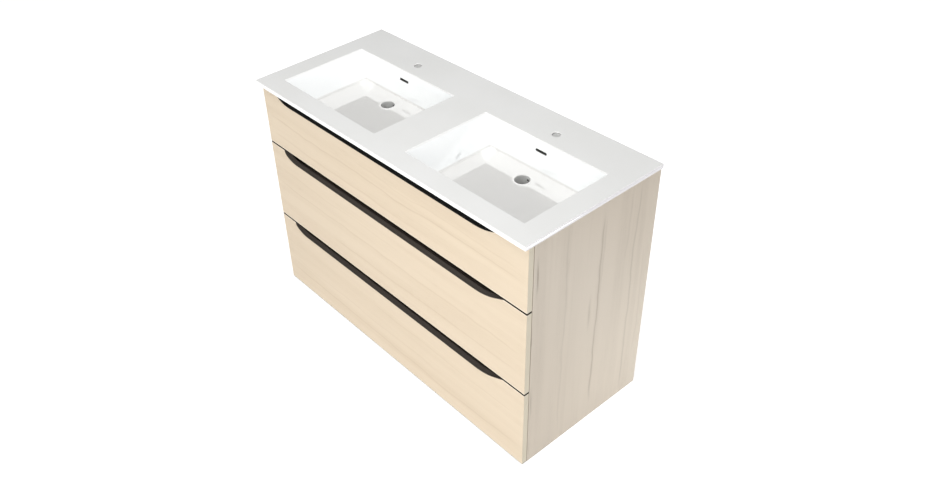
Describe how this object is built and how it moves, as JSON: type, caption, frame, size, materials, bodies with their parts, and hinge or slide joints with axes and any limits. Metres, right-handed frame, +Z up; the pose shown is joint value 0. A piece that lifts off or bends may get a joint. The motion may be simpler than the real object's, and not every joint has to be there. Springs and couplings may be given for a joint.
{
  "type": "bathroom vanity cabinet",
  "caption": "Wide bathroom vanity: one-piece white top with rectangular basins over full-width drawers with finger scoops, on full-extension runners.",
  "frame": {"origin": "on the floor, under the middle of the top", "axes": "+X across the width, to the right seen from the front; -Y towards the user; +Z up"},
  "size_m": [1.214, 0.525, 0.834],
  "materials": {
    "oak_finish_board": "satin",
    "back_board": "matte",
    "drawer_board": "matte",
    "grip_lining": "matte",
    "grip_channel": "satin",
    "black_plastic": "matte",
    "mineral_cast": "gloss",
    "white_plastic": "satin",
    "clear_bumper": "satin",
    "beech": "matte",
    "zinc_steel": "satin"
  },
  "bodies": {
    "carcass": {"back_panel": "back_board", "bottom_panel": "oak_finish_board", "cam_bolts": "zinc_steel", "cam_locks": "zinc_steel", "channel_end_plates": "black_plastic", "countertop": "mineral_cast", "dowels": "beech", "glides": "black_plastic", "grip_channel_lower": "grip_channel", "grip_channel_middle": "grip_channel", "grip_channel_upper": "grip_channel", "overflow_duct_left": "white_plastic", "overflow_duct_right": "white_plastic", "rear_rail_bottom": "oak_finish_board", "rear_rail_middle": "oak_finish_board", "rear_rail_top": "oak_finish_board", "runner_outer_lower": "zinc_steel", "runner_outer_middle": "zinc_steel", "runner_outer_upper": "zinc_steel", "side_panel_left": "oak_finish_board", "side_panel_right": "oak_finish_board", "top_brackets": "zinc_steel"},
    "drawer_lower": {"drawer_lower_box_back": "drawer_board", "drawer_lower_box_bottom": "drawer_board", "drawer_lower_box_front": "drawer_board", "drawer_lower_box_side_left": "drawer_board", "drawer_lower_box_side_right": "drawer_board", "drawer_lower_bumpers": "clear_bumper", "drawer_lower_front": "oak_finish_board", "drawer_lower_front_screws": "zinc_steel", "drawer_lower_grip_lining": "grip_lining", "runner_inner_lower": "zinc_steel"},
    "middle_runners_lower": {"runner_middle_lower": "zinc_steel"},
    "drawer_middle": {"drawer_middle_box_back": "drawer_board", "drawer_middle_box_bottom": "drawer_board", "drawer_middle_box_front": "drawer_board", "drawer_middle_box_side_left": "drawer_board", "drawer_middle_box_side_right": "drawer_board", "drawer_middle_bumpers": "clear_bumper", "drawer_middle_front": "oak_finish_board", "drawer_middle_front_screws": "zinc_steel", "drawer_middle_grip_lining": "grip_lining", "runner_inner_middle": "zinc_steel"},
    "middle_runners_middle": {"runner_middle_middle": "zinc_steel"},
    "drawer_upper": {"drawer_upper_box_back_centre": "drawer_board", "drawer_upper_box_back_left": "drawer_board", "drawer_upper_box_back_right": "drawer_board", "drawer_upper_box_bottom": "drawer_board", "drawer_upper_box_front": "drawer_board", "drawer_upper_box_side_left": "drawer_board", "drawer_upper_box_side_right": "drawer_board", "drawer_upper_bumpers": "clear_bumper", "drawer_upper_front": "oak_finish_board", "drawer_upper_front_screws": "zinc_steel", "drawer_upper_grip_lining": "grip_lining", "runner_inner_upper": "zinc_steel", "trap_recess_left": "drawer_board", "trap_recess_right": "drawer_board"},
    "middle_runners_upper": {"runner_middle_upper": "zinc_steel"}
  },
  "joints": [
    {"name": "drawer_lower_slide", "type": "slide", "parent": "carcass", "child": "drawer_lower", "axis": [0, -1, 0], "range_m": [0, 0.4]},
    {"name": "drawer_middle_slide", "type": "slide", "parent": "carcass", "child": "drawer_middle", "axis": [0, -1, 0], "range_m": [0, 0.4]},
    {"name": "drawer_upper_slide", "type": "slide", "parent": "carcass", "child": "drawer_upper", "axis": [0, -1, 0], "range_m": [0, 0.4]},
    {"name": "middle_runners_lower_slide", "type": "slide", "parent": "carcass", "child": "middle_runners_lower", "axis": [0, -1, 0], "range_m": [0, 0.2]},
    {"name": "middle_runners_middle_slide", "type": "slide", "parent": "carcass", "child": "middle_runners_middle", "axis": [0, -1, 0], "range_m": [0, 0.2]},
    {"name": "middle_runners_upper_slide", "type": "slide", "parent": "carcass", "child": "middle_runners_upper", "axis": [0, -1, 0], "range_m": [0, 0.2]}
  ],
  "couplings": [
    {"joint": "middle_runners_lower_slide", "follows": "drawer_lower_slide", "ratio": 0.5},
    {"joint": "middle_runners_middle_slide", "follows": "drawer_middle_slide", "ratio": 0.5},
    {"joint": "middle_runners_upper_slide", "follows": "drawer_upper_slide", "ratio": 0.5}
  ]
}
